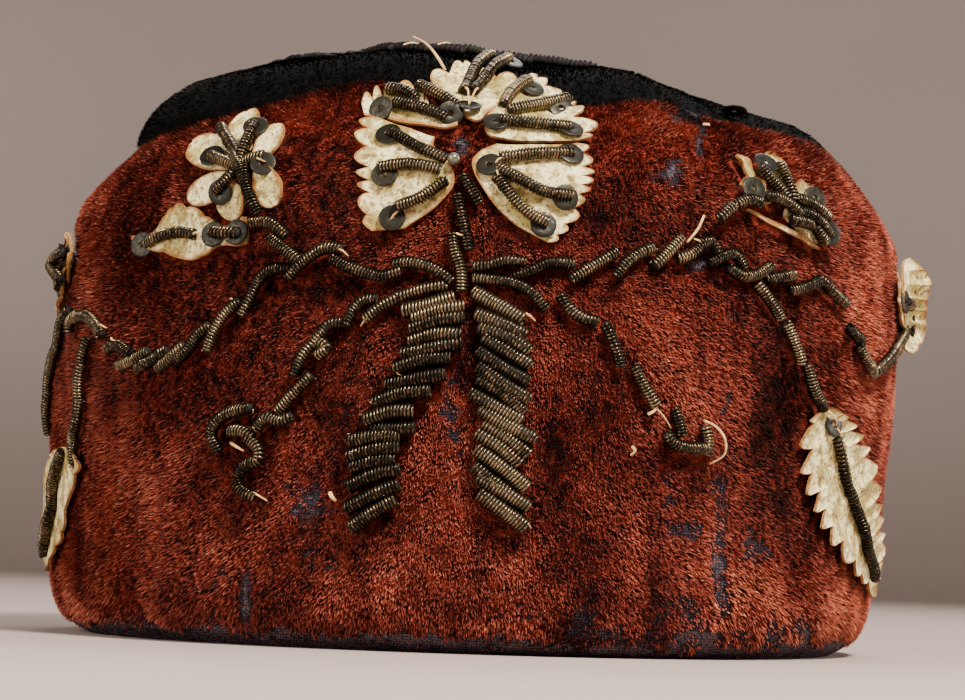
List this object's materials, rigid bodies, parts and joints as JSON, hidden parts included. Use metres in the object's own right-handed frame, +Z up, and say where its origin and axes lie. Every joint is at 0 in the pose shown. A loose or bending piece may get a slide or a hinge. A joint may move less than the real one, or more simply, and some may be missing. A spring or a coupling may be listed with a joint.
{
  "type": "smoking cap",
  "caption": "Soft domed smoking cap in pile velvet, hollow and open below, with kid leather flowers, leaves and vines of metal purl.",
  "frame": {"origin": "under the middle of the cap, on the surface that its hem rests on", "axes": "+Z up, the wearer's front towards -Y, +X to the right when the front is looked at"},
  "size_m": [0.1896, 0.2156, 0.134],
  "materials": {
    "velvet_rust": "pile velvet, worn to its woven ground in places",
    "velvet_black": "black pile velvet",
    "kid_leather": "cream kid, matt, stained",
    "old_purl": "tarnished purl wire and spangles, satin"
  },
  "bodies": {
    "root": {"side_band": "velvet_rust", "crown": "velvet_black", "petal_lower_left": "kid_leather", "petal_upper_left": "kid_leather", "petal_top": "kid_leather", "petal_upper_right": "kid_leather", "petal_lower_right": "kid_leather", "left_leaf": "kid_leather", "right_leaf": "kid_leather", "left_side_leaf": "kid_leather", "back_leaf_left": "kid_leather", "back_leaf_right": "kid_leather", "left_flower": "kid_leather", "right_flower": "kid_leather", "left_side_flower": "kid_leather", "right_side_flower": "kid_leather", "back_flower": "kid_leather", "petal_lower_left_purl": "old_purl", "petal_upper_left_purl": "old_purl", "petal_top_purl": "old_purl", "petal_upper_right_purl": "old_purl", "petal_lower_right_purl": "old_purl", "left_leaf_purl": "old_purl", "right_leaf_purl": "old_purl", "left_side_leaf_purl": "old_purl", "back_leaf_left_purl": "old_purl", "back_leaf_right_purl": "old_purl", "left_flower_purl": "old_purl", "right_flower_purl": "old_purl", "left_side_flower_purl": "old_purl", "right_side_flower_purl": "old_purl", "back_flower_purl": "old_purl", "stem_purl": "old_purl", "left_vine_purl": "old_purl", "left_side_strand_purl": "old_purl", "left_tendril_purl": "old_purl", "right_vine_purl": "old_purl", "right_tendril_purl": "old_purl", "right_leaf_stalk_purl": "old_purl", "crown_purl": "old_purl", "back_vine_purl": "old_purl", "left_tail_purl": "old_purl", "right_tail_purl": "old_purl"}
  },
  "joints": []
}
